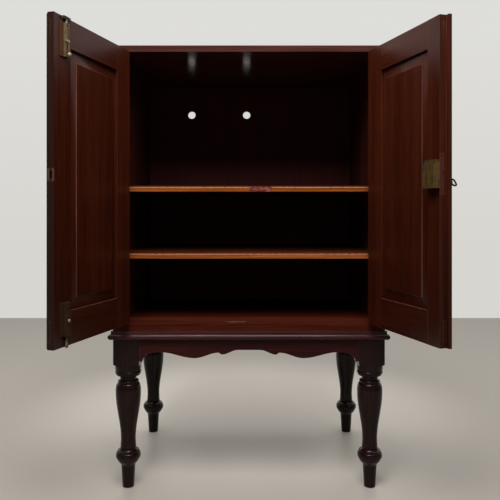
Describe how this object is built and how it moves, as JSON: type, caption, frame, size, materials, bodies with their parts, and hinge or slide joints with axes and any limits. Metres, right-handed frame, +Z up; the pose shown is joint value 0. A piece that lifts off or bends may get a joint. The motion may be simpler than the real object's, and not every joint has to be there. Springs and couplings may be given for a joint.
{
  "type": "gramophone cabinet",
  "caption": "Free-standing wooden record cabinet with a pair of raised-panel doors, shelves inside and a moulded stand on turned legs",
  "frame": {"origin": "On the floor, under the middle of the carcass", "axes": "+Z up, the doors' side faces -Y, +X to the right seen from the front"},
  "size_m": [0.75, 0.7252, 1],
  "materials": {
    "leg_wood": "dark polished mahogany",
    "stand_wood": "dark polished mahogany",
    "carcass_wood": "polished mahogany",
    "door_wood": "polished mahogany",
    "panel_wood": "polished mahogany",
    "shelf_wood": "polished mahogany",
    "back_wood": "dark stained, satin",
    "secondary_wood": "bare",
    "brass": "aged satin",
    "dark_brass": "tarnished",
    "steel": "aged satin"
  },
  "bodies": {
    "cabinet": {"leg_front_left": "leg_wood", "leg_front_right": "leg_wood", "leg_rear_left": "leg_wood", "leg_rear_right": "leg_wood", "front_apron": "stand_wood", "rear_rail": "stand_wood", "side_rail_left": "stand_wood", "side_rail_right": "stand_wood", "stand_top": "stand_wood", "glue_blocks": "secondary_wood", "side_left": "carcass_wood", "side_right": "carcass_wood", "top_board": "carcass_wood", "bottom_board": "carcass_wood", "back_panel": "back_wood", "back_screws": "brass", "upper_shelf": "shelf_wood", "lower_shelf": "shelf_wood", "hinge_side_leaf_left_top": "brass", "hinge_side_leaf_left_bottom": "brass", "hinge_side_leaf_right_top": "brass", "hinge_side_leaf_right_bottom": "brass", "hinge_pin_left_top": "brass", "hinge_pin_left_bottom": "brass", "hinge_pin_right_top": "brass", "hinge_pin_right_bottom": "brass", "side_hinge_screws": "brass", "bolt_socket_plate": "brass", "socket_plate_screws": "brass"},
    "left_door": {"left_hinge_stile": "door_wood", "left_closing_stile": "door_wood", "left_top_rail": "door_wood", "left_bottom_rail": "door_wood", "left_panel": "panel_wood", "hinge_door_leaf_left_top": "brass", "hinge_door_leaf_left_bottom": "brass", "left_door_screws": "brass", "keep_plate": "brass", "top_bolt_case": "brass", "top_bolt_guide": "brass", "bottom_bolt_case": "brass"},
    "top_bolt": {"top_bolt_rod": "brass"},
    "bottom_bolt": {"bottom_bolt_rod": "brass"},
    "right_door": {"right_hinge_stile": "door_wood", "right_closing_stile": "door_wood", "right_top_rail": "door_wood", "right_bottom_rail": "door_wood", "right_panel": "panel_wood", "hinge_door_leaf_right_top": "brass", "hinge_door_leaf_right_bottom": "brass", "right_door_screws": "brass", "lock_case": "dark_brass", "lock_cap": "dark_brass", "lock_selvedge": "brass", "keyhole_lining": "brass"},
    "lock_bolt": {"lock_bolt": "steel"},
    "key": {"key": "steel"}
  },
  "joints": [
    {"name": "left_door_hinge", "type": "hinge", "parent": "cabinet", "child": "left_door", "pos_m": [-0.2885, -0.2192, 0.681], "axis": [0, 0, -1], "range_deg": [-106, 74]},
    {"name": "right_door_hinge", "type": "hinge", "parent": "cabinet", "child": "right_door", "pos_m": [0.2885, -0.2192, 0.681], "axis": [0, 0, 1], "range_deg": [-107, 73]},
    {"name": "top_bolt_slide", "type": "slide", "parent": "left_door", "child": "top_bolt", "axis": [0, 0, 1], "range_m": [0, 0.009]},
    {"name": "bottom_bolt_slide", "type": "slide", "parent": "left_door", "child": "bottom_bolt", "axis": [0, 0, -1], "range_m": [0, 0.009]},
    {"name": "key_turn", "type": "hinge", "parent": "right_door", "child": "key", "pos_m": [0.36145, -0.47218, 0.6805], "axis": [0.9563, 0.2924, 0], "range_deg": [0, 360]},
    {"name": "lock_bolt_slide", "type": "slide", "parent": "right_door", "child": "lock_bolt", "axis": [0.2924, -0.9563, 0], "range_m": [0, 0.008]}
  ],
  "couplings": [
    {"joint": "key_turn", "follows": "lock_bolt_slide", "rad_per_m": 785.39}
  ]
}
